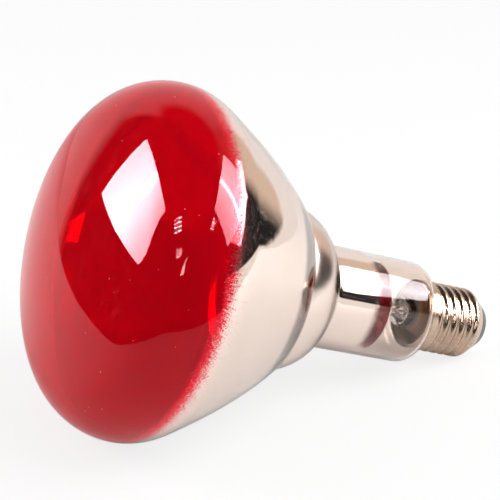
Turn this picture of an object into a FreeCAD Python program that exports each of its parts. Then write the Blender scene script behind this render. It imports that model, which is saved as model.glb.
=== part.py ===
import FreeCAD, Part
import math
import os

from FreeCAD import Placement, Rotation, Vector

# Infrared heat lamp with a reflector bulb and a screw cap, at rest on its side.
# Sizes are in millimetres.  Each piece is first made about the lamp's own axis.
# The station along the axis is 0 on the tip of the face and grows towards the cap,
# and azimuth 0 is the side that the lamp comes to rest on.
# One placement then lays every piece down, with the bulb and the cap on height 0.

os.makedirs("parts", exist_ok=True)

# Glass envelope, outside surface
bulb_diameter = 125.0
face_radius = 139.0
rim_radius = 24.5
back_radius = 21.9
reflector_angle = 27.4
reflector_depth = 47.9
lip_radius = 4.0
step_angle = 75.0
groove_fillet = 1.8
ring_diameter = 60.6
ring_rounding = 19.2
neck_fillet = 2.2
neck_diameter = 37.6
neck_length = 39.2
shoulder_radius = 4.8
nose_diameter = 23.6
nose_fillet = 1.2
nose_length = 8.0
glass_wall = 1.0

# Glass stem: the flare that closes the neck, its tube and its pinched end
flare_rim = 1.2
flare_clearance = 0.5
flare_length = 9.5
stem_tube_diameter = 12.0
stem_tube_length = 3.5
stem_wall = 1.1
pinch_length = 3.0
press_width = 14.0
press_thickness = 4.8
press_length = 6.8

# Exhaust tube and the rod that carries the filament hooks
exhaust_diameter = 3.4
exhaust_bore = 1.8
exhaust_length = 21.0
blow_hole_depth = 1.6
arbor_diameter = 3.6
arbor_length = 24.0
button_diameter = 7.0
button_length = 5.0
button_rounding = 1.2

# Wires
lead_spacing = 6.8
lead_diameter = 1.2
lead_embedded = 2.0
lead_spread = 14.0
lead_straight = 30.0
lead_bend = 2.0
seal_wire_diameter = 0.5
outer_lead_diameter = 0.7
outer_lead_embedded = 1.5
support_diameter = 0.5
support_embedded = 1.4
support_reach = 9.0
support_bend = 2.0
support_count = 5
mount_azimuth = 72.0

# Filament: the outside of the coiled wire, bent to an arc round the axis
filament_radius = 13.0
coil_diameter = 1.5
filament_distance = 49.0
filament_span = 220.0
filament_overhang = 5.0
hook_clearance = 0.05

# Heat deflector disc in the neck
deflector_diameter = 32.0
deflector_thickness = 0.5
deflector_distance = 5.0
deflector_centre_hole = 5.0
deflector_lead_hole = 3.6
stay_diameter = 0.8
stay_spacing = 11.2
stay_offset = 3.4
stay_embedded = 1.0
stay_bend = 0.8

# Screw cap: the outside of its rolled thread, its cone and its contact
cap_gap = 0.4
cap_sheet = 0.3
skirt_diameter = 25.8
skirt_length = 3.4
thread_diameter = 26.2
thread_length = 18.8
thread_entry = 0.8
cone_half_angle = 35.5
cone_length = 7.1
cone_corner = 1.5
cement_setback = 1.0
cement_length = 2.2
cement_clearance = 0.05
insulator_depth = 2.6
insulator_proud = 1.1
insulator_clearance = 0.05
contact_diameter = 10.4
contact_sheet = 0.5
contact_rise = 0.8
wire_hole_clearance = 0.1
solder_diameter = 4.4
solder_height = 0.4
side_solder_diameter = 2.4
side_solder_setback = 0.9

# Radii and angles used again and again
bulb_radius = bulb_diameter / 2
ring_radius = ring_diameter / 2
neck_radius = neck_diameter / 2
nose_radius = nose_diameter / 2
stem_tube_radius = stem_tube_diameter / 2
thread_radius = thread_diameter / 2
skirt_radius = skirt_diameter / 2
coil_radius = coil_diameter / 2
slope = math.radians(reflector_angle)
step = math.radians(step_angle)
cone_angle = math.radians(cone_half_angle)

# The rim arc touches the face arc and the widest circle, which sets its station
rim_height = bulb_radius - rim_radius
back_height = bulb_radius - back_radius
equator = face_radius - math.sqrt((face_radius - rim_radius) ** 2 - rim_height ** 2)
face_angle = math.degrees(math.atan2(rim_height, face_radius - equator))

# The paraboloid takes over where the back arc reaches the reflector's angle
parabola_start = equator + back_radius * math.sin(slope)
parabola_start_radius = back_height + back_radius * math.cos(slope)
focal_length = parabola_start_radius * math.tan(slope) / 2
vertex = parabola_start + parabola_start_radius ** 2 / (4 * focal_length)
reflector_end = equator + reflector_depth
reflector_end_radius = math.sqrt(4 * focal_length * (vertex - reflector_end))
lip_slope = math.atan(2 * focal_length / reflector_end_radius)

# A lip rounds over, drops to the groove and runs into the top of the ring
lip_station = reflector_end - lip_radius * math.sin(lip_slope)
lip_height = reflector_end_radius - lip_radius * math.cos(lip_slope)
drop = lip_height + lip_radius * math.cos(step) - ring_radius - groove_fillet * (1 - math.cos(step))
ring_station = lip_station + (lip_radius + groove_fillet) * math.sin(step) + drop / math.tan(step)
ring_height = ring_radius - ring_rounding
neck_rise = neck_radius + neck_fillet - ring_height
neck_start = ring_station + math.sqrt((ring_rounding + neck_fillet) ** 2 - neck_rise ** 2)
ring_angle = math.degrees(math.atan2(neck_rise, neck_start - ring_station))
neck_end = neck_start + neck_length
shoulder_plane = neck_end + shoulder_radius
nose_end = shoulder_plane + nose_length

# Stations of the stem, from the cap towards the face
flare_end = nose_end + flare_rim
flare_mouth_radius = nose_radius - glass_wall - flare_clearance
tube_back = nose_end - flare_length
press_back = tube_back - stem_tube_length
press_shoulder = press_back - pinch_length
press_front = press_shoulder - press_length
arbor_front = press_front - arbor_length
button_station = arbor_front - button_length / 2
deflector_back = press_front - deflector_distance
filament_station = press_front - filament_distance
filament_start = 90 - filament_span / 2

# Stations of the cap
cap_rim = shoulder_plane + cap_gap
thread_start = cap_rim + skirt_length
cone_start = thread_start + thread_length
cone_end = cone_start + cone_length
cone_end_radius = thread_radius - cone_length * math.tan(cone_angle)
insulator_end = cone_end + insulator_proud
contact_end = insulator_end + contact_rise
contact_radius = contact_diameter / 2


def spot(station, radius):
    """Point of an outline, which lies in the plane of azimuth 0."""
    return Vector(radius, 0, station)


def arc(station, height, radius, start, end):
    """Arc of an outline, by angles in degrees from the axis direction."""
    points = []
    for angle in (start, (start + end) / 2, end):
        turn = math.radians(angle)
        points.append(spot(station + radius * math.cos(turn), height + radius * math.sin(turn)))
    return Part.Arc(*points).toShape()


def bowed(start, middle, end):
    """Parabola that leaves start and reaches end in the direction of the middle point."""
    curve = Part.BezierCurve()
    curve.setPoles([start, middle, end])
    return curve.toShape()


def crossing(start, start_angle, end, end_angle):
    """Where the falling line through start meets the falling line through end."""
    start_fall = math.tan(start_angle)
    end_fall = math.tan(end_angle)
    rise = end.x + end_fall * (end.z - start.z) - start.x
    run = rise / (end_fall - start_fall)
    return spot(start.z + run, start.x - start_fall * run)


def joined(edges):
    """Edges in a row, with a straight line wherever one stops short of the next."""
    chain = [edges[0]]
    for edge in edges[1:]:
        gap_start = chain[-1].Vertexes[-1].Point
        gap_end = edge.Vertexes[0].Point
        if gap_start.distanceToPoint(gap_end) > 1e-6:
            chain.append(Part.makeLine(gap_start, gap_end))
        chain.append(edge)
    return chain


def turned(edges):
    """Solid of revolution from a row of outline edges, closed by a straight line."""
    chain = joined(edges)
    first = chain[0].Vertexes[0].Point
    last = chain[-1].Vertexes[-1].Point
    if first.distanceToPoint(last) > 1e-6:
        chain.append(Part.makeLine(last, first))
    outline = Part.Wire(Part.__sortEdges__(chain))
    return Part.Face(outline).revolve(Vector(0, 0, 0), Vector(0, 0, 1), 360)


def turned_from(*corners):
    """Solid of revolution from corner points, each a station and a radius."""
    points = [spot(station, radius) for station, radius in corners]
    points.append(points[0])
    outline = Part.makePolygon(points)
    return Part.Face(outline).revolve(Vector(0, 0, 0), Vector(0, 0, 1), 360)


def rod(radius, start, end, x=0.0, y=0.0):
    """Round rod along the axis between two stations."""
    return Part.makeCylinder(radius, end - start, Vector(x, y, start))


def bent_wire(points, radius, bend):
    """Round wire along straight runs joined by tangent arcs."""
    edges = []
    here = points[0]
    for before, corner, after in zip(points, points[1:], points[2:]):
        back = (before - corner).normalize()
        on = (after - corner).normalize()
        half_turn = (math.pi - back.getAngle(on)) / 2
        trim = bend * math.tan(half_turn)
        inward = (back + on).normalize()
        middle = corner + inward * (bend / math.cos(half_turn) - bend)
        edges.append(Part.makeLine(here, corner + back * trim))
        edges.append(Part.Arc(corner + back * trim, middle, corner + on * trim).toShape())
        here = corner + on * trim
    edges.append(Part.makeLine(here, points[-1]))
    section = Part.Wire(Part.makeCircle(radius, points[0], points[1] - points[0]))
    return Part.Wire(edges).makePipeShell([section], True, False)


def filament_point(angle):
    """Point of the filament's middle line and its direction there."""
    turn = math.radians(angle)
    point = Vector(filament_radius * math.cos(turn), filament_radius * math.sin(turn), filament_station)
    return point, Vector(-math.sin(turn), math.cos(turn), 0)


def hooked_wire(points, angle, radius, bend):
    """Bent wire that ends in a ring round the filament."""
    centre, along = filament_point(angle)
    ring_radius_here = coil_radius + hook_clearance + radius
    towards = points[-1] - centre
    towards = (towards - along * towards.dot(along)).normalize()
    wire = bent_wire(points + [centre + towards * ring_radius_here], radius, bend)
    ring = Part.makeTorus(ring_radius_here, radius, centre, along)
    return wire.fuse(ring)


def glass_outline(inset):
    """Outline of the envelope from the tip of its face to the end of its nose."""
    lip_start = spot(
        lip_station + (lip_radius - inset) * math.sin(lip_slope),
        lip_height + (lip_radius - inset) * math.cos(lip_slope),
    )
    reflector_start = spot(
        equator + (back_radius - inset) * math.sin(slope),
        back_height + (back_radius - inset) * math.cos(slope),
    )
    reflector_middle = crossing(reflector_start, slope, lip_start, lip_slope)
    return joined([
        arc(face_radius, 0, face_radius - inset, 180, 180 - face_angle),
        arc(equator, rim_height, rim_radius - inset, 180 - face_angle, 90),
        arc(equator, back_height, back_radius - inset, 90, 90 - reflector_angle),
        bowed(reflector_start, reflector_middle, lip_start),
        arc(lip_station, lip_height, lip_radius - inset, 90 - math.degrees(lip_slope), 90 - step_angle),
        arc(ring_station, ring_radius + groove_fillet, groove_fillet + inset, 270 - step_angle, 270),
        arc(ring_station, ring_height, ring_rounding - inset, 90, ring_angle),
        arc(neck_start, neck_radius + neck_fillet, neck_fillet + inset, 180 + ring_angle, 270),
        arc(neck_end, neck_radius - shoulder_radius, shoulder_radius - inset, 90, 0),
        arc(shoulder_plane + nose_fillet, nose_radius + nose_fillet, nose_fillet + inset, 180, 270),
        Part.makeLine(
            spot(shoulder_plane + nose_fillet, nose_radius - inset),
            spot(nose_end, nose_radius - inset),
        ),
    ])


def make_envelope():
    """Blown glass bulb, open at the end of its nose."""
    outside = glass_outline(0)
    inside = glass_outline(glass_wall)
    nose_face = Part.makeLine(spot(nose_end, nose_radius), spot(nose_end, nose_radius - glass_wall))
    axis_edge = Part.makeLine(spot(glass_wall, 0), spot(0, 0))
    outline = Part.Wire(Part.__sortEdges__(outside + inside + [nose_face, axis_edge]))
    return Part.Face(outline).revolve(Vector(0, 0, 0), Vector(0, 0, 1), 360)


def oval(width, thickness, station):
    """Oval wire across the axis."""
    ellipse = Part.Ellipse(Vector(0, 0, station), width / 2, thickness / 2)
    return Part.Wire(ellipse.toShape())


def make_stem(embedded_wires):
    """Flare, tube and pinched end in one piece of glass, moulded round its wires."""
    flare_outer = bowed(
        spot(nose_end, flare_mouth_radius),
        spot(tube_back + flare_length / 3, stem_tube_radius),
        spot(tube_back, stem_tube_radius),
    )
    flare_inner = bowed(
        spot(tube_back, stem_tube_radius - stem_wall),
        spot(tube_back + flare_length / 3, stem_tube_radius - stem_wall),
        spot(flare_end, flare_mouth_radius - stem_wall),
    )
    rim_top = Part.makeLine(spot(flare_end, nose_radius), spot(nose_end, nose_radius))
    tube_outer = Part.makeLine(spot(tube_back, stem_tube_radius), spot(press_back, stem_tube_radius))
    tube_inner = Part.makeLine(
        spot(press_back, stem_tube_radius - stem_wall),
        spot(tube_back, stem_tube_radius - stem_wall),
    )
    flare = turned([rim_top, flare_outer, tube_outer, tube_inner, flare_inner])
    pinch = Part.makeLoft([
        oval(press_width, press_thickness, press_shoulder),
        Part.Wire(Part.makeCircle(stem_tube_radius, Vector(0, 0, press_back))),
    ], True)
    press = Part.Face(oval(press_width, press_thickness, press_front))
    press = press.extrude(Vector(0, 0, press_shoulder - press_front))
    stem = flare.fuse(pinch).fuse(press)
    blow_station = press_back - blow_hole_depth
    blow_hole = rod(exhaust_bore / 2, blow_station, press_back)
    side_hole = Part.makeCylinder(
        exhaust_bore / 2, stem_tube_radius, Vector(0, 0, blow_station), Vector(0, 1, 0))
    stem = stem.cut(blow_hole.fuse(side_hole))
    for wire in embedded_wires:
        stem = stem.cut(wire)
    return stem.removeSplitter()


def make_exhaust_tube():
    """Pumping tube on the back of the press, melted shut at its far end."""
    radius = exhaust_diameter / 2
    end = press_back + exhaust_length
    tube = rod(radius, press_back, end)
    bore = rod(exhaust_bore / 2, press_back, end - exhaust_bore)
    tip = Part.makeSphere(radius, Vector(0, 0, end))
    return tube.fuse(tip).cut(bore).removeSplitter()


def make_arbor(hooks):
    """Glass rod with a button, melted round the feet of the hooks."""
    shaft = rod(arbor_diameter / 2, arbor_front, press_front)
    button = rod(button_diameter / 2, arbor_front - button_length, arbor_front)
    button = button.makeFillet(button_rounding, [
        edge for edge in button.Edges if edge.Curve.TypeId == "Part::GeomCircle"])
    arbor = shaft.fuse(button)
    for hook in hooks:
        arbor = arbor.cut(hook)
    return arbor.removeSplitter()


def make_lead(side):
    """Inner lead: out of the press, wide through the deflector and on to the filament."""
    near = side * lead_spacing / 2
    wide = side * lead_spread / 2
    spread_start = press_front - lead_diameter
    spread_end = deflector_back + lead_diameter
    points = [
        Vector(near, 0, press_front + lead_embedded),
        Vector(near, 0, spread_start),
        Vector(wide, 0, spread_end),
        Vector(wide, 0, deflector_back - lead_straight),
    ]
    angle = filament_start if side > 0 else filament_start + filament_span
    return hooked_wire(points, angle, lead_diameter / 2, lead_bend)


def make_seal_wire(side):
    """Thin wire that the press seals round."""
    start = press_front + lead_embedded
    end = press_back - outer_lead_embedded
    return rod(seal_wire_diameter / 2, start, end, side * lead_spacing / 2)


def make_contact_lead():
    """Outer lead to the contact at the end of the cap."""
    near = -lead_spacing / 2
    centring_start = press_back + exhaust_length + exhaust_diameter
    points = [
        Vector(near, 0, press_back - outer_lead_embedded),
        Vector(near, 0, centring_start),
        Vector(0, 0, centring_start + lead_spacing),
        Vector(0, 0, contact_end),
    ]
    return bent_wire(points, outer_lead_diameter / 2, lead_bend)


def make_side_lead():
    """Outer lead round the end of the nose to the rim of the cap's shell."""
    near = lead_spacing / 2
    outside = skirt_radius - cap_sheet - (cement_clearance + outer_lead_diameter) / 2
    turn_station = flare_end + outer_lead_diameter
    points = [
        Vector(near, 0, press_back - outer_lead_embedded),
        Vector(near, 0, turn_station),
        Vector(outside, 0, turn_station),
        Vector(outside, 0, cap_rim + nose_fillet / 2),
    ]
    return bent_wire(points, outer_lead_diameter / 2, outer_lead_diameter)


def make_stay(side):
    """Short cranked wire from the press to the back of the deflector."""
    across = side * stay_spacing / 2
    offset = side * stay_offset
    crank_start = press_front - stay_diameter
    crank_end = deflector_back + 2 * stay_diameter
    points = [
        Vector(across, 0, press_front + stay_embedded),
        Vector(across, 0, crank_start),
        Vector(across, offset, crank_end),
        Vector(across, offset, deflector_back),
    ]
    return bent_wire(points, stay_diameter / 2, stay_bend)


def make_hook(number):
    """Support wire from the button to the filament."""
    angle = filament_start + number * filament_span / (support_count + 1)
    outwards = Vector(math.cos(math.radians(angle)), math.sin(math.radians(angle)), 0)
    height = Vector(0, 0, button_station)
    foot = button_diameter / 2 - support_embedded
    points = [height + outwards * foot, height + outwards * support_reach]
    return hooked_wire(points, angle, support_diameter / 2, support_bend)


def make_filament():
    """Coiled wire, as the round bar that its turns fill."""
    angle = filament_span + 2 * filament_overhang
    coil = Part.makeTorus(filament_radius, coil_radius, Vector(0, 0, 0), Vector(0, 0, 1), 0, 360, angle)
    coil.rotate(Vector(0, 0, 0), Vector(0, 0, 1), filament_start - filament_overhang)
    coil.translate(Vector(0, 0, filament_station))
    return coil


def make_deflector():
    """Sheet disc with holes for the rod and the two leads."""
    front = deflector_back - deflector_thickness
    disc = rod(deflector_diameter / 2, front, deflector_back)
    disc = disc.cut(rod(deflector_centre_hole / 2, front, deflector_back))
    for side in (1, -1):
        hole = rod(deflector_lead_hole / 2, front, deflector_back, side * lead_spread / 2)
        disc = disc.cut(hole)
    return disc


def shell_outline(inset):
    """Outline of the cap's shell from its rim to the small end of its cone."""
    rounding = cone_corner - inset
    corner_station = cone_start - cone_corner * math.tan(cone_angle / 2)
    return joined([
        Part.makeLine(spot(cap_rim, skirt_radius - inset), spot(thread_start, skirt_radius - inset)),
        Part.makeLine(
            spot(thread_start + thread_entry, thread_radius - inset),
            spot(corner_station, thread_radius - inset),
        ),
        arc(corner_station, thread_radius - cone_corner, rounding, 90, 90 - cone_half_angle),
        Part.makeLine(
            spot(
                corner_station + rounding * math.sin(cone_angle),
                thread_radius - cone_corner + rounding * math.cos(cone_angle),
            ),
            spot(cone_end, cone_end_radius - inset / math.cos(cone_angle)),
        ),
    ])


def make_cap_shell():
    """Drawn sheet shell with skirt, threaded part and cone."""
    outside = shell_outline(0)
    inside = shell_outline(cap_sheet)
    rim_face = Part.makeLine(outside[0].Vertexes[0].Point, inside[0].Vertexes[0].Point)
    end_face = Part.makeLine(outside[-1].Vertexes[-1].Point, inside[-1].Vertexes[-1].Point)
    outline = Part.Wire(Part.__sortEdges__(outside + inside + [rim_face, end_face]))
    return Part.Face(outline).revolve(Vector(0, 0, 0), Vector(0, 0, 1), 360)


def make_cement(side_lead):
    """Cement ring between the nose of the glass and the skirt of the cap."""
    start = cap_rim + cement_setback
    outer = skirt_radius - cap_sheet - cement_clearance
    ring = rod(outer, start, start + cement_length)
    ring = ring.cut(rod(nose_radius, start, start + cement_length))
    return ring.cut(side_lead)


def make_insulator():
    """Glass button in the cone of the cap, with a dished seat for the contact."""
    hole_radius = outer_lead_diameter / 2 + wire_hole_clearance
    shift = cap_sheet / math.cos(cone_angle) + insulator_clearance
    end_radius = cone_end_radius - shift
    back = cone_end - insulator_depth
    back_radius_here = end_radius + insulator_depth * math.tan(cone_angle)
    return turned_from(
        (back, hole_radius),
        (back, back_radius_here),
        (cone_end, end_radius),
        (insulator_end, contact_radius),
        (insulator_end, hole_radius),
    )


def make_contact():
    """Domed sheet contact on the insulator."""
    hole_radius = outer_lead_diameter / 2 + wire_hole_clearance
    dome_radius = (contact_radius ** 2 + contact_rise ** 2) / (2 * contact_rise)
    dome = Part.makeSphere(dome_radius, Vector(0, 0, contact_end - dome_radius))
    hollow = Part.makeSphere(dome_radius - contact_sheet, Vector(0, 0, contact_end - dome_radius))
    blank = rod(contact_radius, insulator_end, contact_end)
    return blank.common(dome).cut(hollow).cut(rod(hole_radius, insulator_end, contact_end))


def make_contact_solder(contact, contact_lead):
    """Solder cap over the wire's end in the middle of the contact."""
    radius = solder_diameter / 2
    height = solder_height
    ball_radius = (radius ** 2 + height ** 2) / (2 * height)
    ball = Part.makeSphere(ball_radius, Vector(0, 0, contact_end + height - ball_radius))
    blob = ball.common(rod(radius, insulator_end + contact_rise / 2, contact_end + height))
    return blob.cut(contact).cut(contact_lead).removeSplitter()


def make_side_solder(neighbours):
    """Solder bead on the rim of the shell, run in between its neighbours."""
    centre = Vector(skirt_radius + cap_gap / 2, 0, cap_rim + side_solder_setback)
    bead = Part.makeSphere(side_solder_diameter / 2, centre)
    for neighbour in neighbours:
        bead = bead.cut(neighbour)
    return bead


envelope = make_envelope()
leads = {"lead_wire_near": make_lead(-1), "lead_wire_far": make_lead(1)}
seals = {"seal_wire_near": make_seal_wire(-1), "seal_wire_far": make_seal_wire(1)}
stays = {"deflector_stay_near": make_stay(-1), "deflector_stay_far": make_stay(1)}
contact_lead = make_contact_lead()
side_lead = make_side_lead()
hooks = {f"filament_hook_{number}": make_hook(number) for number in range(1, support_count + 1)}
embedded = list(leads.values()) + list(seals.values()) + list(stays.values()) + [contact_lead, side_lead]
shell = make_cap_shell()
cement = make_cement(side_lead)
contact = make_contact()

# The mount is turned round the axis as a whole, the rest is the same all round
mount = {
    "stem": make_stem(embedded),
    "arbor_rod": make_arbor(hooks.values()),
    "filament": make_filament(),
    "heat_deflector": make_deflector(),
    "outer_lead_contact": contact_lead,
    "outer_lead_shell": side_lead,
    "cement_ring": cement,
    "contact_solder": make_contact_solder(contact, contact_lead),
    "side_solder": make_side_solder([envelope, shell, side_lead, cement]),
}
for group in (leads, seals, stays, hooks):
    mount.update(group)
for piece in mount.values():
    piece.rotate(Vector(0, 0, 0), Vector(0, 0, 1), mount_azimuth)

pieces = {
    "glass_envelope": envelope,
    "exhaust_tube": make_exhaust_tube(),
    "cap_shell": shell,
    "cap_insulator": make_insulator(),
    "centre_contact": contact,
}
pieces.update(mount)

# At rest one line touches the back arc of the bulb and the rounded corner of the cap
corner_station = cone_start - cone_corner * math.tan(cone_angle / 2)
run = corner_station - equator
fall = back_height - (thread_radius - cone_corner)
rest_tilt = math.atan2(fall, run) + math.asin((back_radius - cone_corner) / math.hypot(run, fall))
tip_height = equator * math.sin(rest_tilt) + back_height * math.cos(rest_tilt) + back_radius

# The origin lies under the middle of the lamp's box, on the surface that it rests on
lying = Rotation(Vector(0, 1, 0), 90 + math.degrees(rest_tilt))
whole = Part.makeCompound(list(pieces.values()))
whole.Placement = Placement(Vector(0, 0, tip_height), lying)
box = whole.optimalBoundingBox(False)
middle = box.Center
placement = Placement(Vector(-middle.x, -middle.y, tip_height), lying)

for name, piece in pieces.items():
    piece.Placement = placement.multiply(piece.Placement)
    piece.exportStep(f"parts/{name}.step")
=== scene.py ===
import bpy
import math
from mathutils import Matrix, Vector


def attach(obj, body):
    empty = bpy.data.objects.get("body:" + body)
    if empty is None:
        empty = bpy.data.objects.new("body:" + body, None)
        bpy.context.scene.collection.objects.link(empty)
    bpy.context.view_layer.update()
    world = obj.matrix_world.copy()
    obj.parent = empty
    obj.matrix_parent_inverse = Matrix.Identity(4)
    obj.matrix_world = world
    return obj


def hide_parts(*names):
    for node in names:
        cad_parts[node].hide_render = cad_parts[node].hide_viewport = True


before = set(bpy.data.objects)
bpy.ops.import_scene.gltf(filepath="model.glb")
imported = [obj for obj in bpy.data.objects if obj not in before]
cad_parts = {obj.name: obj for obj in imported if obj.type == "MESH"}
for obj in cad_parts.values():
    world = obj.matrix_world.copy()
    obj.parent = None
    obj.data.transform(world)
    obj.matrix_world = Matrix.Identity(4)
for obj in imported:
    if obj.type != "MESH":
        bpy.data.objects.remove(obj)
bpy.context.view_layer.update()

# Glass envelope.  The bulb is blown in one piece from clear glass.  Its back is
# coated inside with bright aluminium, its face is dipped in red lacquer outside,
# and the end of the neck is left clear.  The nose carries the cap.
MM = 0.001
bulb_radius = 62.5
face_radius = 139.0
rim_radius = 24.5
back_radius = 21.9
reflector_slope = math.radians(27.4)
reflector_depth = 47.9
lip_radius = 4.0
step_slope = math.radians(75.0)
groove_fillet = 1.8
ring_radius = 30.3
ring_rounding = 19.2
neck_fillet = 2.2
neck_radius = 18.8
neck_length = 39.2
shoulder_radius = 4.8
nose_radius = 11.8
nose_fillet = 1.2
nose_length = 8.0
glass_wall = 1.0
skin_inset = 0.036

# Stations of the finishes and of the painted shade in the two folds, in millimetres from the tip of
# the face
lacquer_edge = 33.7
lacquer_spread = 6.0
mirror_front_edge = 29.0
mirror_overlap = 1.5
mirror_back_edge = 117.4
mirror_end = 121.5
lip_fold_span = (69.5, 73.0, 77.5, 80.5)
neck_fold_span = (92.0, 95.5, 98.0, 101.5)
ring_span = (78.0, 81.0, 98.0, 101.0)
bare_shoulder = 0.9

# The lamp lies on its widest circle and on the cap, so its axis falls by this tilt
rest_tilt = math.radians(20.411)
face_tip = Vector((-79.072, 0.0, 70.759)) * MM
along = Vector((math.cos(rest_tilt), 0.0, -math.sin(rest_tilt)))
down = Vector((-math.sin(rest_tilt), 0.0, -math.cos(rest_tilt)))
across = Vector((0.0, 1.0, 0.0))

# Where the arcs and the parabola of the outline meet, each tangent to the next
rim_height = bulb_radius - rim_radius
back_height = bulb_radius - back_radius
equator = face_radius - math.sqrt((face_radius - rim_radius) ** 2 - rim_height ** 2)
face_angle = math.atan2(rim_height, face_radius - equator)
parabola_start = equator + back_radius * math.sin(reflector_slope)
parabola_start_radius = back_height + back_radius * math.cos(reflector_slope)
focal_length = parabola_start_radius * math.tan(reflector_slope) / 2
parabola_vertex = parabola_start + parabola_start_radius ** 2 / (4 * focal_length)
reflector_end = equator + reflector_depth
reflector_end_radius = math.sqrt(4 * focal_length * (parabola_vertex - reflector_end))
lip_slope = math.atan(2 * focal_length / reflector_end_radius)
lip_station = reflector_end - lip_radius * math.sin(lip_slope)
lip_height = reflector_end_radius - lip_radius * math.cos(lip_slope)
step_drop = lip_height + lip_radius * math.cos(step_slope) - ring_radius
step_drop -= groove_fillet * (1 - math.cos(step_slope))
ring_station = lip_station + (lip_radius + groove_fillet) * math.sin(step_slope)
ring_station += step_drop / math.tan(step_slope)
ring_height = ring_radius - ring_rounding
neck_rise = neck_radius + neck_fillet - ring_height
neck_start = ring_station + math.sqrt((ring_rounding + neck_fillet) ** 2 - neck_rise ** 2)
ring_angle = math.atan2(neck_rise, neck_start - ring_station)
neck_end = neck_start + neck_length
shoulder_plane = neck_end + shoulder_radius
nose_end = shoulder_plane + nose_length


def place(station, radius, azimuth):
    """World point from a station, a radius and an azimuth on the lamp, in millimetres."""
    offset = down * (radius * math.cos(azimuth)) + across * (radius * math.sin(azimuth))
    return face_tip + (along * station + offset) * MM


def arc_points(station, height, radius, start, end, count):
    """Points of an arc from angle start to angle end, both from the axis direction."""
    points = []
    for i in range(count + 1):
        angle = start + (end - start) * i / count
        points.append((station + radius * math.cos(angle), height + radius * math.sin(angle)))
    return points


def parabola_points(start, end, start_slope, end_slope, count):
    """Points of the parabola that leaves start and reaches end at the given slopes."""
    rise = end[1] + math.tan(end_slope) * (end[0] - start[0]) - start[1]
    run = rise / (math.tan(end_slope) - math.tan(start_slope))
    middle = (start[0] + run, start[1] - math.tan(start_slope) * run)
    points = []
    for i in range(count + 1):
        t = i / count
        points.append(tuple(
            (1 - t) ** 2 * start[k] + 2 * t * (1 - t) * middle[k] + t * t * end[k]
            for k in (0, 1)))
    return points


def chained(rows):
    """One row of points from several, without the points that repeat."""
    chain = []
    for row in rows:
        for point in row:
            if not chain or math.dist(chain[-1], point) > 1e-4:
                chain.append(point)
    return chain


def skin_points(inset, detail):
    """Outline of the envelope's skin, from the tip of the face to the end of the nose."""
    pi = math.pi
    back = (
        equator + (back_radius - inset) * math.sin(reflector_slope),
        back_height + (back_radius - inset) * math.cos(reflector_slope),
    )
    lip = (
        lip_station + (lip_radius - inset) * math.sin(lip_slope),
        lip_height + (lip_radius - inset) * math.cos(lip_slope),
    )

    def steps(count):
        return max(3, int(count * detail))

    return chained([
        arc_points(face_radius, 0, face_radius - inset, pi, pi - face_angle, steps(34)),
        arc_points(equator, rim_height, rim_radius - inset, pi - face_angle, pi / 2, steps(28)),
        arc_points(equator, back_height, back_radius - inset,
                   pi / 2, pi / 2 - reflector_slope, steps(14)),
        parabola_points(back, lip, reflector_slope, lip_slope, steps(34)),
        arc_points(lip_station, lip_height, lip_radius - inset,
                   pi / 2 - lip_slope, pi / 2 - step_slope, steps(9)),
        arc_points(ring_station, ring_radius + groove_fillet, groove_fillet + inset,
                   1.5 * pi - step_slope, 1.5 * pi, steps(8)),
        arc_points(ring_station, ring_height, ring_rounding - inset, pi / 2, ring_angle, steps(24)),
        arc_points(neck_start, neck_radius + neck_fillet, neck_fillet + inset,
                   pi + ring_angle, 1.5 * pi, steps(7)),
        [(neck_start + (neck_end - neck_start) * i / 26, neck_radius - inset) for i in range(27)],
        arc_points(neck_end, neck_radius - shoulder_radius, shoulder_radius - inset,
                   pi / 2, 0, steps(12)),
        arc_points(shoulder_plane + nose_fillet, nose_radius + nose_fillet, nose_fillet + inset,
                   pi, 1.5 * pi, steps(7)),
        [(nose_end, nose_radius - inset)],
    ])


def turned(name, points, count, closed=False):
    """Lathe-turned mesh from outline points, each a station and a radius."""
    vertices = []
    rings = []
    for station, radius in points:
        if radius < 1e-6:
            rings.append([len(vertices)] * count)
            vertices.append(place(station, 0, 0))
        else:
            rings.append(list(range(len(vertices), len(vertices) + count)))
            vertices += [place(station, radius, 2 * math.pi * i / count) for i in range(count)]
    faces = []
    pairs = list(zip(rings, rings[1:]))
    if closed:
        pairs.append((rings[-1], rings[0]))
    for one, other in pairs:
        for i in range(count):
            j = (i + 1) % count
            face = [one[i], one[j], other[j], other[i]]
            face = [v for k, v in enumerate(face) if v != face[k - 1]]
            if len(face) > 2:
                faces.append(face)
    mesh = bpy.data.meshes.new(name)
    mesh.from_pydata(vertices, [], faces)
    mesh.validate()
    return mesh


def shown(name, mesh, materials, replaces):
    """Smooth-shaded object that rides on the lamp and stands for its solid."""
    piece = bpy.data.objects.new(name, mesh)
    bpy.context.scene.collection.objects.link(piece)
    for polygon in mesh.polygons:
        polygon.use_smooth = True
    for material in materials:
        mesh.materials.append(material)
    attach(piece, "root")
    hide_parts(*replaces)


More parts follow.
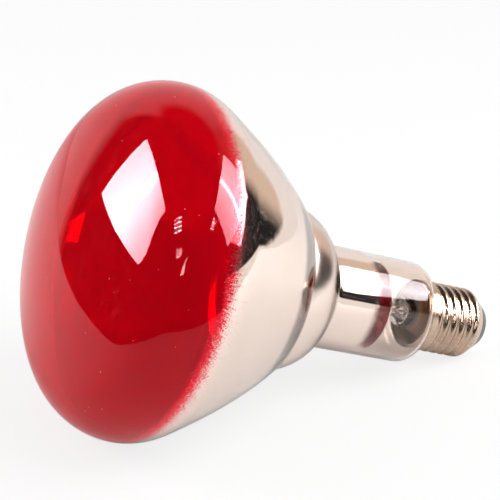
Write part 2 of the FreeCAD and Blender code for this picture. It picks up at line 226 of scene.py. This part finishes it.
class Nodes:
    """Short way to write the nodes of a tree."""

    def __init__(self, tree):
        self.tree = tree

    def put(self, node, key, value):
        """Links a socket to an input, or sets the input to a value."""
        if isinstance(value, bpy.types.NodeSocket):
            self.tree.links.new(value, node.inputs[key])
        else:
            node.inputs[key].default_value = value

    def add(self, kind, inputs=(), **settings):
        node = self.tree.nodes.new("ShaderNode" + kind)
        for key, value in settings.items():
            setattr(node, key, value)
        for key, value in dict(inputs).items():
            self.put(node, key, value)
        return node

    def math(self, operation, first, second=0.0, third=0.0, clamp=False):
        inputs = {0: first, 1: second, 2: third}
        return self.add("Math", inputs, operation=operation, use_clamp=clamp).outputs[0]

    def ramp(self, value, start, end, low=0.0, high=1.0):
        """Smooth step from low at start to high at end."""
        inputs = {0: value, 1: start, 2: end, 3: low, 4: high}
        return self.add("MapRange", inputs, interpolation_type="SMOOTHSTEP").outputs[0]

    def band(self, value, rise_start, rise_end, fall_start, fall_end):
        """One between the two inner values and nothing beyond the outer ones."""
        rising = self.ramp(value, rise_start, rise_end)
        return self.math("MULTIPLY", rising, self.ramp(value, fall_start, fall_end, 1, 0))

    def mix(self, factor, first, second):
        return self.add("Mix", {0: factor, 6: first, 7: second}, data_type="RGBA").outputs[2]

    def mirrored(self, rays):
        """One for what is seen in metal or through glass."""
        return self.math("MAXIMUM", rays["Is Glossy Ray"], rays["Is Transmission Ray"])


class Surface(Nodes):
    """Nodes of a material, which all lead to its one shader."""

    def __init__(self, name):
        self.material = bpy.data.materials.new(name)
        self.material.use_nodes = True
        super().__init__(self.material.node_tree)
        self.shader = self.tree.nodes["Principled BSDF"]

    def set(self, **values):
        for key, value in values.items():
            self.put(self.shader, key.replace("_", " "), value)

    def position(self):
        return self.add("TexCoord").outputs["Object"]

    def noise(self, scale, detail=2.0, roughness=0.5):
        return self.add("TexNoise", {
            "Vector": self.position(), "Scale": scale,
            "Detail": detail, "Roughness": roughness}).outputs["Fac"]

    def station(self):
        """Station along the lamp in millimetres."""
        inputs = {0: self.position(), 1: along / MM}
        measured = self.add("VectorMath", inputs, operation="DOT_PRODUCT").outputs["Value"]
        return self.math("SUBTRACT", measured, face_tip.dot(along) / MM)

    def bump(self, height, distance, strength=1.0):
        inputs = {"Height": height, "Distance": distance, "Strength": strength}
        self.put(self.shader, "Normal", self.add("Bump", inputs).outputs["Normal"])


glass_index = 1.44
bare_glass = (0.98, 0.94, 0.91, 1)
filmed_glass = (0.90, 0.81, 0.755, 1)


def clear_glass(name, tint):
    """Clear lamp glass with faint drawn waves."""
    glass = Surface(name)
    glass.set(
        Base_Color=tint, Transmission_Weight=1.0, IOR=glass_index,
        Specular_IOR_Level=0.35, Roughness=0.0)
    glass.bump(glass.noise(90, 1.0), 0.00003, 0.3)
    return glass.material


# The lacquer is whole on the face and breaks up into specks at its edge
lacquered = Surface("red_lacquer_on_glass")
station = lacquered.station()
grain = lacquered.noise(2400, 1.0, 0.5)
thinning = lacquered.ramp(station, lacquer_edge - 6.0, lacquer_edge + 3.5, 0.30, 0.72)
whole = lacquered.ramp(station, lacquer_edge - 9.0, lacquer_edge - 5.0, 0.4, 0.0)
threshold = lacquered.math("SUBTRACT", thinning, whole)
specks = lacquered.ramp(lacquered.math("SUBTRACT", grain, threshold), -0.012, 0.022)
haze = lacquered.ramp(station, lacquer_edge - 3.0, lacquer_edge + 2.5, 0.35, 0)
cover = lacquered.math("MAXIMUM", specks, haze)
depth = lacquered.noise(24, 3.0)
red = lacquered.mix(depth, (0.95, 0.0004, 0.015, 1), (0.86, 0.0003, 0.012, 1))
dust_cells = lacquered.add("TexVoronoi", {"Vector": lacquered.position(), "Scale": 190.0})
dust = lacquered.ramp(dust_cells.outputs["Distance"], 0.02, 0.05, 0.7, 0.0)
dust_free = lacquered.math("SUBTRACT", 1.0, dust)
clear_share = lacquered.ramp(cover, 0, 1, 1.0, 0.66)
lacquered.set(
    Base_Color=lacquered.mix(
        dust, lacquered.mix(cover, bare_glass, red), (0.86, 0.62, 0.62, 1)),
    Transmission_Weight=lacquered.math("MULTIPLY", clear_share, dust_free),
    IOR=glass_index, Specular_IOR_Level=0.09, Specular_Tint=(1.0, 0.56, 0.62, 1),
    Roughness=0.0)
lacquered.bump(lacquered.noise(160, 2.0), 0.00002, 0.25)

outer_glass = clear_glass("clear_bulb_glass", bare_glass)
neck_glass = clear_glass("filmed_neck_glass", filmed_glass)

lacquer_back = Surface("lacquer_seen_through_the_glass")
lacquer_back.set(
    Base_Color=lacquer_back.mix(
        lacquer_back.noise(30), (0.97, 0.008, 0.034, 1), (0.94, 0.006, 0.028, 1)),
    Transmission_Weight=0.55, IOR=glass_index, Specular_IOR_Level=0.2, Roughness=0.0)

cemented_glass = Surface("glass_against_cement")
cemented_glass.set(
    Base_Color=cemented_glass.mix(
        cemented_glass.noise(500, 4.0), (0.82, 0.47, 0.24, 1), (0.58, 0.32, 0.15, 1)),
    Roughness=0.5)

# The mirror fades out at both ends, is darkened in the two folds by painted shade, and is dull on
# the ring
inner_mirror = Surface("aluminium_vapour_coat")
station = inner_mirror.station()
cloud = inner_mirror.noise(300, 3.0)
front_fade = inner_mirror.ramp(
    inner_mirror.math("MULTIPLY_ADD", cloud, 1.5, station),
    mirror_front_edge, mirror_front_edge + 2.0)
back_fade = inner_mirror.ramp(
    inner_mirror.math("MULTIPLY_ADD", cloud, 2.0, station),
    mirror_back_edge - 0.5, mirror_back_edge + 3.5, 1, 0)
# Painted shade: the mirror's colour turns dark grey-brown in the lip fold and the neck fold
folds = inner_mirror.math(
    "MAXIMUM", inner_mirror.band(station, *lip_fold_span),
    inner_mirror.band(station, *neck_fold_span))
painted_fold_shade = inner_mirror.math("MULTIPLY", folds, 0.8)
coat = inner_mirror.mix(
    inner_mirror.noise(60), (0.93, 0.81, 0.75, 1), (0.90, 0.77, 0.70, 1))
inner_mirror.set(
    Base_Color=inner_mirror.mix(painted_fold_shade, coat, (0.26, 0.20, 0.18, 1)),
    Metallic=inner_mirror.math("MULTIPLY", front_fade, back_fade),
    Transmission_Weight=1.0, IOR=glass_index,
    Roughness=inner_mirror.ramp(inner_mirror.band(station, *ring_span), 0, 1, 0.025, 0.17))
inner_mirror.bump(inner_mirror.noise(150, 3.0), 0.00003, 0.3)

around = 192
outer = skin_points(skin_inset, 1.0)
inner = skin_points(glass_wall, 0.9)
envelope_rings = outer + inner[::-1]
envelope_mesh = turned("glass_envelope_skin", envelope_rings, around)
LACQUERED, BARE, FILMED, LACQUER_BACK, MIRROR, CEMENTED = range(6)
shown(
    "glass_envelope_skin", envelope_mesh,
    [lacquered.material, outer_glass, neck_glass, lacquer_back.material, inner_mirror.material,
     cemented_glass.material],
    ["glass_envelope"])


def envelope_zone(station, on_outer_skin):
    """Index of the material at a station of the outer or the inner skin."""
    if on_outer_skin and station > shoulder_plane + bare_shoulder:
        return CEMENTED
    if station >= mirror_end:
        return FILMED
    if on_outer_skin:
        return LACQUERED if station < lacquer_edge + lacquer_spread else BARE
    return LACQUER_BACK if station < mirror_front_edge - mirror_overlap else MIRROR


# Each pair of neighbouring outline points made one row of faces, in their order
for polygon in envelope_mesh.polygons:
    row = polygon.index // around
    middle = (envelope_rings[row][0] + envelope_rings[row + 1][0]) / 2
    polygon.material_index = envelope_zone(middle, row < len(outer))

# Screw cap shell.  It is deep-drawn from thin plated brass sheet, its thread is
# rolled in, and it is cemented on the nose of the bulb.
skirt_radius = 12.9
skirt_length = 3.4
skirt_flare = 0.25
thread_radius = 13.1
thread_length = 18.8
thread_pitch = 3.629
thread_rounding = 1.025
thread_crest_station = 165.95
thread_run_in = 1.4
thread_run_out = 1.6
thread_steps = 84
cone_slope = math.radians(35.5)
cone_length = 7.1
cone_corner = 1.5
enamelled_length = 3.5
cap_gap = 0.4
cap_sheet = 0.3
cap_rim = shoulder_plane + cap_gap
thread_start = cap_rim + skirt_length
cone_start = thread_start + thread_length
cone_end = cone_start + cone_length
cone_end_radius = thread_radius - cone_length * math.tan(cone_slope)
corner_station = cone_start - cone_corner * math.tan(cone_slope / 2)
enamel_start = cone_end - enamelled_length


def smooth(value):
    """Smooth step from 0 to 1."""
    value = min(1.0, max(0.0, value))
    return value * value * (3 - 2 * value)


def plain_cap_radius(station):
    """Radius of the shell without its thread."""
    if station <= thread_start:
        return skirt_radius
    if station <= corner_station:
        return min(thread_radius, skirt_radius + (station - thread_start) * skirt_flare)
    rounded = station - corner_station
    if rounded < cone_corner * math.sin(cone_slope):
        return thread_radius - cone_corner + math.sqrt(cone_corner ** 2 - rounded ** 2)
    return cone_end_radius + (cone_end - station) * math.tan(cone_slope)


def threaded_cap_radius(station, azimuth, inset):
    """Radius of the shell with its rolled thread, a right-hand screw."""
    plain = plain_cap_radius(station) - inset
    half_pitch = thread_pitch / 2
    crest_centre = thread_radius - thread_rounding
    root_centre = crest_centre + math.sqrt((2 * thread_rounding) ** 2 - half_pitch ** 2)
    turn = (station - thread_crest_station) / thread_pitch - azimuth / (2 * math.pi)
    from_crest = abs(turn - round(turn)) * thread_pitch
    crest_rounding = thread_rounding - inset
    root_rounding = thread_rounding + inset
    if from_crest < crest_rounding / (2 * thread_rounding) * half_pitch:
        wave = crest_centre + math.sqrt(crest_rounding ** 2 - from_crest ** 2)
    else:
        wave = root_centre - math.sqrt(root_rounding ** 2 - (half_pitch - from_crest) ** 2)
    run_in = smooth((station - thread_start) / thread_run_in)
    run_out = smooth((corner_station - station) / thread_run_out)
    return plain + (min(wave, plain) - plain) * run_in * run_out


def cap_skin(inset):
    """Stations of the shell from its rim to the small end of the cone."""
    rows = [cap_rim, cap_rim + 0.1, cap_rim + 1.5, thread_start - 0.3]
    rows += [
        thread_start + (corner_station - thread_start) * i / thread_steps
        for i in range(thread_steps + 1)]
    rows += [corner_station + 0.2 * i for i in range(1, 8)]
    rows += [enamel_start, cone_end]
    return [(row, inset) for row in rows]


cap_around = 144
outside_rows = cap_skin(skin_inset)
cap_rows = outside_rows + cap_skin(cap_sheet)[::-1]
cap_vertices = []
for row_station, inset in cap_rows:
    for i in range(cap_around):
        angle = 2 * math.pi * i / cap_around
        radius = threaded_cap_radius(row_station, angle, inset)
        cap_vertices.append(place(row_station, radius, angle))
cap_faces = []
for row in range(len(cap_rows)):
    here = row * cap_around
    following = (row + 1) % len(cap_rows) * cap_around
    for i in range(cap_around):
        j = (i + 1) % cap_around
        cap_faces.append([here + i, here + j, following + j, following + i])
cap_mesh = bpy.data.meshes.new("cap_shell_thread")
cap_mesh.from_pydata(cap_vertices, [], cap_faces)

plated = Surface("plated_brass")
worn = plated.noise(420, 4.0, 0.6)
stain = plated.noise(45, 3.0)
plated.set(
    Base_Color=plated.mix(
        plated.ramp(stain, 0.35, 0.7), (0.62, 0.47, 0.36, 1), (0.50, 0.36, 0.27, 1)),
    Metallic=1.0,
    Roughness=plated.ramp(worn, 0.3, 0.75, 0.18, 0.34))
plated.bump(worn, 0.00002, 0.5)
lining = Surface("cement_on_sheet")
crumbs = lining.noise(600, 4.0, 0.65)
lining.set(
    Base_Color=lining.mix(crumbs, (0.46, 0.31, 0.20, 1), (0.30, 0.19, 0.11, 1)),
    Roughness=0.8)
lining.bump(crumbs, 0.0001, 0.6)
enamel = Surface("dark_cone_enamel")
enamel.set(
    Base_Color=enamel.mix(
        enamel.noise(350, 4.0), (0.050, 0.036, 0.030, 1), (0.028, 0.020, 0.017, 1)),
    Roughness=0.3, IOR=1.4)
enamel.bump(enamel.noise(500, 3.0), 0.00004, 0.5)
PLATED, LINED, ENAMELLED = range(3)
shown(
    "cap_shell_thread", cap_mesh, [plated.material, lining.material, enamel.material],
    ["cap_shell"])
for polygon in cap_mesh.polygons:
    row = polygon.index // cap_around
    polygon.material_index = PLATED
    if len(outside_rows) <= row < len(cap_rows) - 1:
        polygon.material_index = LINED
    elif row < len(outside_rows) and cap_rows[row][0] >= enamel_start:
        polygon.material_index = ENAMELLED

# Cap end.  A button of dark glass is cast in the cone and carries a tinned
# contact plate, with the lead soldered in its middle.
button_rise = 1.1
button_depth = 2.6
button_chamfer = 0.3
button_step = 0.12
button_bevel = 0.1
button_play = 0.05
contact_radius = 5.2
contact_rise = 0.8
contact_margin = 0.25
contact_flange = 2.0
contact_sheet = 0.5
contact_dip = 0.002
wire_hole = 0.45
end_around = 96
insulator_end = cone_end + button_rise
contact_end = insulator_end + contact_rise
insulator_shift = cap_sheet / math.cos(cone_slope) + button_play
insulator_radius = cone_end_radius - insulator_shift
insulator_back = cone_end - button_depth
insulator_back_radius = insulator_radius + button_depth * math.tan(cone_slope)
insulator_mesh = turned("cap_insulator_button", [
    (insulator_back, wire_hole),
    (insulator_back, insulator_back_radius - button_chamfer),
    (insulator_back + button_chamfer,
     insulator_back_radius - button_chamfer * math.tan(cone_slope)),
    (cone_end, insulator_radius),
    (cone_end + button_step, insulator_radius - button_chamfer),
    (insulator_end - button_bevel, contact_radius + contact_margin),
    (insulator_end, contact_radius),
    (insulator_end, wire_hole),
], end_around, closed=True)
dark_glass = Surface("dark_cast_glass")
dark_glass.set(
    Base_Color=dark_glass.mix(
        dark_glass.noise(300), (0.012, 0.010, 0.012, 1), (0.035, 0.028, 0.026, 1)),
    Roughness=0.12, IOR=1.55)
dark_glass.bump(dark_glass.noise(700, 3.0), 0.00004, 0.5)
shown(
    "cap_insulator_button", insulator_mesh, [dark_glass.material],
    ["cap_insulator"])

dome_radius = (contact_radius ** 2 + contact_rise ** 2) / (2 * contact_rise)
dome_centre = contact_end - dome_radius
contact_points = [(insulator_end, contact_radius)]
for i in range(12, 0, -1):
    reach = contact_radius * i / 12
    contact_points.append((dome_centre + math.sqrt(dome_radius ** 2 - reach ** 2), reach))
contact_points.append((contact_end - contact_dip, wire_hole))
contact_points.append((contact_end - contact_sheet, wire_hole))
contact_points.append((insulator_end, contact_radius - contact_flange))
contact_mesh = turned(
    "centre_contact_plate", chained([contact_points]), end_around, closed=True)
tinned = Surface("tinned_plate")
tin_grain = tinned.noise(500, 4.0, 0.6)
tinned.set(
    Base_Color=tinned.mix(tin_grain, (0.66, 0.63, 0.58, 1), (0.50, 0.47, 0.43, 1)),
    Metallic=1.0, Roughness=tinned.ramp(tin_grain, 0.3, 0.7, 0.25, 0.42))
tinned.bump(tin_grain, 0.00004, 0.6)
shown(
    "centre_contact_plate", contact_mesh, [tinned.material],
    ["centre_contact"])


def dressed(material, *names):
    """Gives solids of the frame their material."""
    for name in names:
        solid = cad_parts[name]
        solid.data.materials.clear()
        solid.data.materials.append(material)


solder = Surface("soft_solder")
solder_grain = solder.noise(900, 4.0, 0.6)
solder.set(
    Base_Color=solder.mix(solder_grain, (0.62, 0.61, 0.60, 1), (0.42, 0.41, 0.40, 1)),
    Metallic=1.0, Roughness=solder.ramp(solder_grain, 0.3, 0.7, 0.28, 0.5))
solder.bump(solder_grain, 0.00008, 0.7)
dressed(solder.material, "contact_solder", "side_solder")

# Cement.  A brown ring of baked basing cement fills the gap between the nose of
# the bulb and the skirt of the cap.
cement = Surface("baked_cement")
cement_grain = cement.noise(800, 5.0, 0.65)
cement.set(
    Base_Color=cement.mix(cement_grain, (0.46, 0.31, 0.20, 1), (0.30, 0.19, 0.11, 1)),
    Roughness=0.85)
cement.bump(cement_grain, 0.00015, 0.8)
dressed(cement.material, "cement_ring")

# Glass mount.  Flare, tube and press are one piece of pressed glass in the neck,
# with the exhaust tube behind and the rod for the filament hooks in front.
scorch_start = 143.5
scorch_end = 148.0
mount_glass = Surface("pressed_mount_glass")
ragged = mount_glass.math(
    "MULTIPLY_ADD", mount_glass.noise(200, 3.0), 3.0, mount_glass.station())
scorch = mount_glass.ramp(ragged, scorch_start, scorch_end)
clear = mount_glass.mix(mount_glass.noise(80), (0.97, 0.98, 0.97, 1), (0.94, 0.96, 0.95, 1))
mount_glass.set(
    Base_Color=mount_glass.mix(scorch, clear, (0.76, 0.42, 0.21, 1)),
    Transmission_Weight=mount_glass.ramp(scorch, 0, 1, 1.0, 0.0),
    IOR=1.52, Roughness=0.02)
mount_glass.bump(mount_glass.noise(220, 2.0), 0.00006, 0.4)
dressed(mount_glass.material, "stem", "exhaust_tube", "arbor_rod")

# Wires.  Two stout nickel-plated leads run through the deflector to the filament,
# thin wires are sealed in the press, two outer leads run on to the cap, and the
# hooks on the rod are molybdenum.
wire = Surface("nickel_plated_wire")
drawn = wire.noise(900, 3.0)
wire.set(
    Base_Color=wire.mix(drawn, (0.72, 0.69, 0.64, 1), (0.55, 0.52, 0.48, 1)),
    Metallic=1.0, Roughness=wire.ramp(drawn, 0.3, 0.7, 0.18, 0.32))
wire.bump(drawn, 0.00002, 0.4)
dressed(
    wire.material, "lead_wire_near", "lead_wire_far", "deflector_stay_near",
    "deflector_stay_far", "outer_lead_contact", "outer_lead_shell")
seal = Surface("oxidised_seal_wire")
seal.set(
    Base_Color=seal.mix(seal.noise(700), (0.42, 0.16, 0.11, 1), (0.28, 0.10, 0.08, 1)),
    Metallic=1.0, Roughness=0.4)
dressed(seal.material, "seal_wire_near", "seal_wire_far")
molybdenum = Surface("molybdenum_hook_wire")
molybdenum.set(
    Base_Color=molybdenum.mix(
        molybdenum.noise(900), (0.45, 0.43, 0.42, 1), (0.33, 0.31, 0.30, 1)),
    Metallic=1.0, Roughness=0.3)
dressed(molybdenum.material, *[f"filament_hook_{number}" for number in range(1, 6)])

# Heat deflector.  A bright aluminium disc with punched holes stands across the
# neck on two short stays and keeps the lamp's heat off the cap.
deflector = Surface("bright_aluminium_disc")
disc_grain = deflector.noise(260, 3.0)
deflector.set(
    Base_Color=deflector.mix(disc_grain, (0.88, 0.87, 0.86, 1), (0.80, 0.79, 0.78, 1)),
    Metallic=1.0, Roughness=deflector.ramp(disc_grain, 0.3, 0.7, 0.18, 0.30))
deflector.bump(disc_grain, 0.0006, 0.5)
dressed(deflector.material, "heat_deflector")

# Filament.  Tungsten wire wound in one long coil hangs in an arc on its hooks
# and on the hooked ends of the two leads.
mount_azimuth = math.radians(72)
filament_radius = 13.0
filament_station = 81.5
filament_middle = math.pi / 2
filament_half_span = math.radians(115)
coil_radius = 0.75
coil_wire = 0.16
coil_play = 0.02
coil_turns = 84
steps_per_turn = 14
swing = coil_radius - coil_wire - coil_play
coil_points = []
for i in range(coil_turns * steps_per_turn + 1):
    share = i / (coil_turns * steps_per_turn)
    arc_angle = filament_middle - filament_half_span + 2 * filament_half_span * share
    winding = 2 * math.pi * coil_turns * share
    coil_points.append(place(
        filament_station + swing * math.sin(winding),
        filament_radius + swing * math.cos(winding),
        arc_angle + mount_azimuth))


def tube(name, points, radius, sides):
    """Round wire of one thickness along points."""
    curve = bpy.data.curves.new(name, "CURVE")
    curve.dimensions = "3D"
    curve.bevel_depth = radius
    curve.bevel_resolution = sides
    curve.use_fill_caps = True
    spline = curve.splines.new("POLY")
    spline.points.add(len(points) - 1)
    for point, target in zip(spline.points, points):
        point.co = (*target, 1)
    holder = bpy.data.objects.new(name, curve)
    bpy.context.scene.collection.objects.link(holder)
    bpy.context.view_layer.update()
    mesh = bpy.data.meshes.new_from_object(holder)
    bpy.data.objects.remove(holder)
    return mesh


tungsten = Surface("tungsten_coil")
tungsten.set(
    Base_Color=tungsten.mix(tungsten.noise(900), (0.34, 0.33, 0.33, 1), (0.24, 0.23, 0.23, 1)),
    Metallic=1.0, Roughness=0.34)
coil_mesh = tube("filament_coil", coil_points, coil_wire * MM, 1)
shown("filament_coil", coil_mesh, [tungsten.material], ["filament"])

# Studio.  The lamp lies on a white table in front of a white sweep, with a large
# soft box on each side, a dimmer cloth below the right one, and an unlit room in
# front.
left, right, front, rear = -0.39, 0.42, -0.335, 1.4
direct_glow = 0.8
mirrored_glow = 0.12
floor_mesh = bpy.data.meshes.new("studio_table")
floor_mesh.from_pydata(
    [(left, front, 0), (right, front, 0), (right, rear, 0), (left, rear, 0)], [], [(0, 1, 2, 3)])
floor = bpy.data.objects.new("studio_table", floor_mesh)
bpy.context.scene.collection.objects.link(floor)
paper = Surface("white_table_paper")
paper.set(
    Base_Color=paper.mix(paper.noise(40), (0.93, 0.93, 0.93, 1), (0.92, 0.92, 0.92, 1)),
    Roughness=0.9, Specular_IOR_Level=0.1)
white = paper.add("Emission", {"Color": (1, 1, 1, 1), "Strength": 1.0})
rays = paper.add("LightPath").outputs
share = paper.math(
    "MULTIPLY_ADD", rays["Is Camera Ray"], direct_glow,
    paper.math("MULTIPLY", paper.mirrored(rays), mirrored_glow))
surface = paper.add("MixShader", {0: share, 1: paper.shader.outputs[0], 2: white.outputs[0]})
paper.put(paper.tree.nodes["Material Output"], "Surface", surface.outputs[0])
floor_mesh.materials.append(paper.material)

# The room by direction: azimuth 0 is in front of the table and 90 is on the cap's
# side.  Each pair is where an edge begins and ends, in degrees.
sweep_right, sweep_right_lean = (97, 111), 0.57
sweep_left, sweep_left_lean = (-150, -157), 0.25
sweep_top, sweep_top_sag = (72, 84), 0.2
table_start, table_edge = (22, 28), (-0.5, 0.7)
table_lowest, table_lowest_azimuth, table_climb = -9.5, 94, 0.25
wall_start, wall_end = (0, 30), (126, 118)
wall_colour = (0.74, 0.60, 0.50, 1)
sweep_colour = (0.93, 0.92, 0.91, 1)
fill_light = (0.48, 0.48, 0.48, 1)
world = bpy.data.worlds.new("studio_room")
bpy.context.scene.world = world
world.use_nodes = True
sky = Nodes(world.node_tree)
direction = sky.add("TexCoord").outputs["Generated"]
parts = sky.add("SeparateXYZ", {0: direction}).outputs
azimuth = sky.math(
    "DEGREES", sky.math("ARCTAN2", parts[0], sky.math("MULTIPLY", parts[1], -1.0)))
rise = sky.math("DEGREES", sky.math("ARCSINE", parts[2]))
right_half = sky.ramp(azimuth, *wall_start)
right_lean = sky.math("MULTIPLY_ADD", rise, sweep_right_lean, azimuth)
right_side = sky.math("MULTIPLY", sky.ramp(right_lean, *sweep_right), right_half)
left_lean = sky.math("MULTIPLY_ADD", rise, sweep_left_lean, azimuth)
left_side = sky.ramp(left_lean, *sweep_left)
top_line = sky.math("MULTIPLY_ADD", sky.math("ABSOLUTE", azimuth), sweep_top_sag, rise)
behind = sky.math(
    "MULTIPLY", sky.math("MAXIMUM", right_side, left_side), sky.ramp(top_line, *sweep_top, 1, 0))
side_turn = sky.math("ABSOLUTE", sky.math("SUBTRACT", azimuth, table_lowest_azimuth))
table_line = sky.math("MULTIPLY_ADD", side_turn, table_climb, table_lowest)
above_table = sky.ramp(sky.math("SUBTRACT", rise, table_line), *table_edge)
table_band = sky.math(
    "MULTIPLY", sky.ramp(azimuth, *table_start), sky.math("SUBTRACT", 1.0, above_table))
lit = sky.math("MAXIMUM", behind, table_band)
clutter = sky.add("TexNoise", {
    "Vector": direction, "Scale": 16.0, "Detail": 8.0, "Roughness": 0.75}).outputs["Fac"]
sparkle = sky.add("TexNoise", {"Vector": direction, "Scale": 70.0, "Detail": 1.0}).outputs["Fac"]
dark = sky.math(
    "ADD", sky.ramp(clutter, 0.52, 0.72, 0.02, 0.34), sky.ramp(sparkle, 0.73, 0.77, 0, 0.8))
wall = sky.math(
    "MULTIPLY", sky.math("MULTIPLY", sky.ramp(azimuth, *wall_end), right_half), above_table)
studio = sky.mix(lit, dark, sky.mix(wall, sweep_colour, wall_colour))
rays = sky.add("LightPath").outputs
seen = sky.mix(sky.mirrored(rays), fill_light, studio)
background = sky.tree.nodes["Background"]
sky.put(background, "Color", sky.mix(rays["Is Camera Ray"], seen, (1, 1, 1, 1)))
sky.put(background, "Strength", 1.0)


def card_mesh(name, centre, quads, distance):
    """Four-cornered cards, each corner an azimuth and an elevation in degrees."""
    points = []
    for turn, rise in [corner for quad in quads for corner in quad]:
        turn, rise = math.radians(turn), math.radians(rise)
        points.append(centre + distance * Vector((
            math.sin(turn) * math.cos(rise), -math.cos(turn) * math.cos(rise), math.sin(rise))))
    mesh = bpy.data.meshes.new(name)
    mesh.from_pydata(points, [], [tuple(range(4 * i, 4 * i + 4)) for i in range(len(quads))])
    return mesh


def hung(name, mesh, glow, colour, strength):
    """Hangs up a glowing card, which the camera doesn't see directly."""
    glow.set(Base_Color=(0, 0, 0, 1), Specular_IOR_Level=0.0, Roughness=1.0)
    glow.set(Emission_Color=colour, Emission_Strength=strength)
    mesh.materials.append(glow.material)
    card = bpy.data.objects.new(name, mesh)
    bpy.context.scene.collection.objects.link(card)
    card.visible_camera = False


def soft_box(name, centre, corners, distance, light, gleam, inside):
    """Luminous cloth, brighter along the tube behind its middle."""
    mesh = card_mesh(name, centre, [corners], distance)
    across_card = mesh.uv_layers.new(name="UVMap")
    for loop, corner in enumerate([(0, 1), (1, 1), (1, 0), (0, 0)]):
        across_card.data[loop].uv = corner
    glow = Surface(name + "_cloth")
    rays = glow.add("LightPath").outputs
    mirrored = glow.mirrored(rays)
    spot = glow.add("SeparateXYZ", {0: glow.add("TexCoord").outputs["UV"]}).outputs
    off_tube = glow.math("ABSOLUTE", glow.math("SUBTRACT", spot[0], 0.5))
    tube_glow = glow.ramp(off_tube, 0.0, 0.07, 2.6, 1.0)
    halo = glow.ramp(off_tube, 0.0, 0.5, 1.0, 0.55)
    by_ray = glow.ramp(rays["Is Transmission Ray"], 0, 1, gleam, inside)
    mirrored_light = glow.math("MULTIPLY", glow.math("MULTIPLY", tube_glow, halo), by_ray)
    strength = glow.add(
        "Mix", {0: mirrored, 2: light, 3: mirrored_light}, data_type="FLOAT").outputs[0]
    colour = glow.mix(mirrored, (1, 1, 1, 1), (1.0, 0.91, 0.96, 1))
    hung(name, mesh, glow, colour, strength)


def room_glint(name, quads, gleam):
    """Small bright things in the room, which only show in what mirrors them."""
    glow = Surface(name + "_light")
    rays = glow.add("LightPath").outputs
    glossy = glow.math("SUBTRACT", rays["Is Glossy Ray"], rays["Is Transmission Ray"], clamp=True)
    strength = glow.math("MULTIPLY", glossy, gleam)
    hung(name, card_mesh(name, bulb_place, quads, 1.0), glow, (1.0, 0.93, 0.86, 1), strength)


def slats(half_width, ends):
    """Bars from one end to the other, each end an azimuth and an elevation."""
    return [
        [(a, b + half_width), (c, d + half_width), (c, d - half_width), (a, b - half_width)]
        for (a, b), (c, d) in ends]


bulb_place = Vector((-0.03, -0.02, 0.08))
neck_place = Vector((0.05, 0.0, 0.05))
soft_box(
    "soft_box_left", bulb_place, [(-141.8, 32.8), (-96.1, 38.6), (-112.5, 10.1), (-140.7, 10.4)],
    distance=1.0, light=5.6, gleam=46.0, inside=16.0)
soft_box(
    "soft_box_right", bulb_place, [(13.3, 53.5), (92.3, 55.9), (80.1, 23.1), (26.5, 24.6)],
    distance=1.1, light=5.6, gleam=32.0, inside=5.0)
soft_box(
    "soft_box_apron", neck_place, [(28.0, 27.0), (94.0, 44.0), (98.5, 34.0), (45.0, 15.5)],
    distance=1.12, light=0.5, gleam=20.0, inside=4.0)
room_glint("blind_upper", slats(0.23, [
    ((-77.0, 42.8), (-63.8, 48.8)), ((-75.0, 41.3), (-62.4, 46.8)),
    ((-72.6, 40.1), (-60.2, 45.2)), ((-69.9, 38.8), (-57.5, 43.3))]), gleam=150.0)
room_glint("blind_lower", slats(0.16, [
    ((-61.2, 32.7), (-51.9, 35.3)), ((-60.2, 31.6), (-51.0, 34.1)),
    ((-59.3, 30.5), (-50.3, 32.9)), ((-58.2, 29.3), (-49.8, 31.7))]), gleam=80.0)
room_glint("blind_right", slats(0.24, [
    ((6.5, 49.3), (13.4, 45.7)), ((3.9, 47.8), (10.7, 44.6)),
    ((1.5, 46.1), (8.2, 43.4)), ((-0.5, 44.5), (5.8, 42.2))]), gleam=110.0)
room_glint("door_slit", [[(-40.4, 31.0), (-40.8, 22.4), (-46.0, 21.1), (-45.0, 25.5)]], gleam=27.0)

# Camera, at the place that the picture was taken from
camera_azimuth = math.radians(-25.57)
camera_elevation = math.radians(23.33)
camera_roll = math.radians(0.79)
camera_distance = 0.69158
look_at = Vector((-0.00972, 0, 0.05705))
backward = Vector((
    math.sin(camera_azimuth) * math.cos(camera_elevation),
    -math.cos(camera_azimuth) * math.cos(camera_elevation),
    math.sin(camera_elevation)))
level_right = Vector((0, 0, 1)).cross(backward).normalized()
level_up = backward.cross(level_right)
right_axis = level_right * math.cos(camera_roll) + level_up * math.sin(camera_roll)
up_axis = level_up * math.cos(camera_roll) - level_right * math.sin(camera_roll)
camera_data = bpy.data.cameras.new("camera")
camera_data.sensor_fit = "HORIZONTAL"
camera_data.sensor_width = 36
camera_data.lens = 142.18
camera_data.shift_x = 0.0037
camera_data.clip_start = 0.01
camera = bpy.data.objects.new("camera", camera_data)
bpy.context.scene.collection.objects.link(camera)
axes = Matrix((right_axis, up_axis, backward)).transposed()
camera.matrix_world = Matrix.Translation(look_at + backward * camera_distance) @ axes.to_4x4()
bpy.context.scene.camera = camera
bpy.context.scene.view_settings.view_transform = "Standard"
